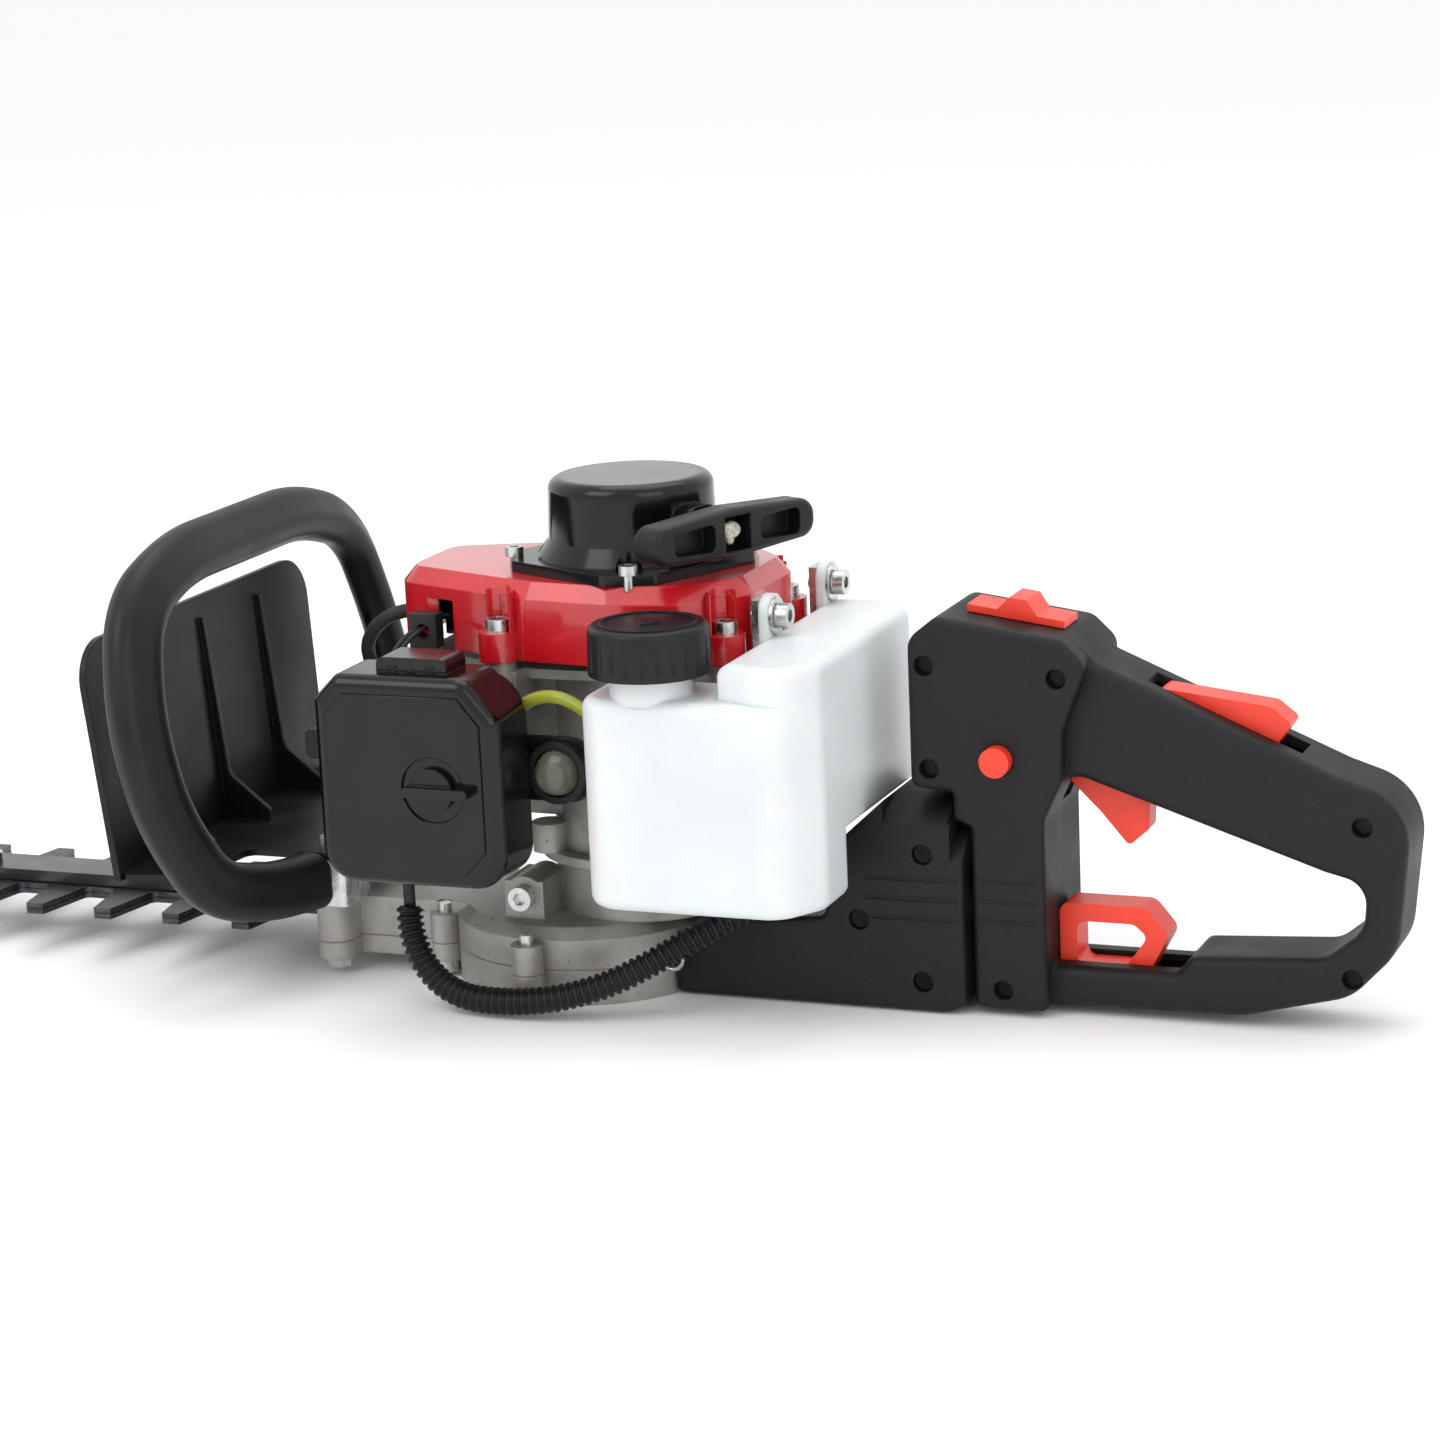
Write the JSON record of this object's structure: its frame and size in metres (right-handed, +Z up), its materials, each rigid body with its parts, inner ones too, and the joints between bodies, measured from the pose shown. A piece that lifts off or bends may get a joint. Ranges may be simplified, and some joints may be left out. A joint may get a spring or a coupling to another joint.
{
  "type": "petrol hedge trimmer",
  "caption": "Double-sided petrol hedge trimmer with reciprocating blades, loop front handle, recoil starter, fuel tank and swivelling rear handle with throttle controls.",
  "frame": {"origin": "centre of the gear case's underside pad below the crankshaft axis", "axes": "+X towards the rear handle, the blades along -X, +Z up, -Y to the operator's left"},
  "size_m": [1.0841, 0.2398, 0.208],
  "materials": {
    "cast_aluminium": "as cast, dull",
    "steel": "ground",
    "zinc": "bright zinc plate",
    "black_steel": "black powder coat",
    "red_shroud": "gloss",
    "gloss_black": "gloss",
    "satin_black": "satin",
    "grip_black": "fine texture",
    "orange": "semi-gloss",
    "tank_milk": "translucent",
    "rubber": "matt",
    "foam": "open cell",
    "rope": "braided",
    "hose": "translucent",
    "smoke": "translucent",
    "gasket": "matt",
    "ceramic": "glazed"
  },
  "bodies": {
    "engine": {"air_filter_base": "satin_black", "air_filter_cover": "gloss_black", "air_filter_foam": "foam", "bearings_and_gear_pin": "steel", "cable_conduit": "satin_black", "carburettor": "cast_aluminium", "clutch_housing": "cast_aluminium", "connecting_rod": "steel", "crankcase_lower": "cast_aluminium", "crankcase_upper": "cast_aluminium", "cylinder": "cast_aluminium", "engine_shroud": "red_shroud", "front_handle": "satin_black", "fuel_hose": "hose", "fuel_tank": "tank_milk", "gaskets_and_insulator": "gasket", "gear_case": "cast_aluminium", "gear_case_cover": "cast_aluminium", "guide_bar": "black_steel", "hand_shield": "satin_black", "handle_holder_left": "grip_black", "handle_holder_right": "grip_black", "ignition_coil": "satin_black", "ignition_lead": "rubber", "machine_screws": "zinc", "mounting_brackets": "black_steel", "muffler": "steel", "muffler_guard": "black_steel", "piston": "cast_aluminium", "recoil_spring": "steel", "rubber_bushes": "rubber", "spark_plug": "ceramic", "starter_housing": "gloss_black", "swivel_hub": "grip_black", "throttle_cable": "satin_black"},
    "drive_gear": {"drive_gear": "steel"},
    "clutch": {"clutch_drum": "steel"},
    "crank": {"crankshaft": "steel", "flywheel": "cast_aluminium", "clutch_shoes": "steel"},
    "upper_cutter": {"upper_blade": "steel", "upper_con_rod": "steel"},
    "lower_cutter": {"lower_blade": "steel", "lower_con_rod": "steel"},
    "reel": {"starter_reel": "satin_black"},
    "pull": {"pull_handle": "satin_black", "starter_rope": "rope"},
    "throttle_lever": {"carb_throttle_lever": "steel"},
    "choke": {"choke_lever": "satin_black"},
    "primer": {"primer_bulb": "smoke"},
    "cap": {"fuel_cap": "satin_black"},
    "cover_knob": {"cover_knob": "gloss_black"},
    "rear_handle": {"rear_handle_left": "grip_black", "rear_handle_right": "grip_black", "handle_screws_and_pins": "zinc"},
    "trigger": {"throttle_trigger": "orange"},
    "lockout": {"throttle_lockout": "orange"},
    "stop_switch": {"stop_switch": "orange"},
    "latch_button": {"latch_button": "orange"},
    "release_lever": {"release_lever": "orange"}
  },
  "joints": [
    {"name": "gear_spin", "type": "hinge", "parent": "engine", "child": "drive_gear", "pos_m": [-0.0375, 0, 0.02], "axis": [0, 0, 1], "continuous": true},
    {"name": "clutch_spin", "type": "hinge", "parent": "engine", "child": "clutch", "pos_m": [0, 0, 0.03], "axis": [0, 0, 1], "continuous": true},
    {"name": "crank_spin", "type": "hinge", "parent": "engine", "child": "crank", "pos_m": [0, 0, 0.1], "axis": [0, 0, 1], "continuous": true},
    {"name": "upper_cut", "type": "slide", "parent": "engine", "child": "upper_cutter", "axis": [1, 0, 0], "range_m": [-0.006, 0.006]},
    {"name": "lower_cut", "type": "slide", "parent": "engine", "child": "lower_cutter", "axis": [1, 0, 0], "range_m": [-0.006, 0.006]},
    {"name": "starter_pull", "type": "slide", "parent": "engine", "child": "pull", "axis": [0.9063, -0.4226, 0], "range_m": [0, 0.7], "stiffness_N_per_m": 12, "springref_m": -0.5},
    {"name": "reel_spin", "type": "hinge", "parent": "engine", "child": "reel", "pos_m": [0, 0, 0.19], "axis": [0, 0, 1], "range_deg": [0, 1790]},
    {"name": "throttle_shaft", "type": "hinge", "parent": "engine", "child": "throttle_lever", "pos_m": [-0.066, -0.055, 0.11], "axis": [0, 0, 1], "range_deg": [0, 48.2]},
    {"name": "choke_swing", "type": "hinge", "parent": "engine", "child": "choke", "pos_m": [-0.08, -0.065, 0.118], "axis": [0, 1, 0], "range_deg": [0, 30]},
    {"name": "primer_press", "type": "slide", "parent": "engine", "child": "primer", "axis": [0, 1, 0], "range_m": [0, 0.003], "stiffness_N_per_m": 600, "springref_m": -0.001},
    {"name": "cap_turn", "type": "hinge", "parent": "engine", "child": "cap", "pos_m": [0.036, -0.074, 0.15], "axis": [0, 0, 1], "range_deg": [0, 360]},
    {"name": "knob_turn", "type": "hinge", "parent": "engine", "child": "cover_knob", "pos_m": [-0.046, -0.1, 0.1], "axis": [0, 1, 0], "range_deg": [0, 90]},
    {"name": "handle_swivel", "type": "hinge", "parent": "engine", "child": "rear_handle", "pos_m": [0.15, 0, 0.04], "axis": [1, 0, 0], "range_deg": [-90, 90]},
    {"name": "trigger_squeeze", "type": "hinge", "parent": "rear_handle", "child": "trigger", "pos_m": [0.187, 0, 0.102], "axis": [0, -1, 0], "range_deg": [0, 16], "stiffness_Nm_per_rad": 0.9, "springref_deg": -8.59},
    {"name": "lockout_press", "type": "hinge", "parent": "rear_handle", "child": "lockout", "pos_m": [0.222, 0, 0.122], "axis": [0, 1, 0], "range_deg": [0, 8], "stiffness_Nm_per_rad": 1.5, "springref_deg": -8.59},
    {"name": "stop_slide", "type": "slide", "parent": "rear_handle", "child": "stop_switch", "axis": [-0.9899, 0, 0.1414], "range_m": [0, 0.006]},
    {"name": "latch_press", "type": "slide", "parent": "rear_handle", "child": "latch_button", "axis": [0, 1, 0], "range_m": [0, 0.003], "stiffness_N_per_m": 500, "springref_m": -0.002},
    {"name": "release_pull", "type": "slide", "parent": "rear_handle", "child": "release_lever", "axis": [1, 0, 0], "range_m": [0, 0.006], "stiffness_N_per_m": 800, "springref_m": -0.005}
  ],
  "couplings": [
    {"joint": "clutch_spin", "follows": "gear_spin", "ratio": -4},
    {"joint": "lower_cut", "follows": "upper_cut", "ratio": -1},
    {"joint": "reel_spin", "follows": "starter_pull", "rad_per_m": 44.4},
    {"joint": "throttle_shaft", "follows": "trigger_squeeze", "ratio": 3}
  ]
}
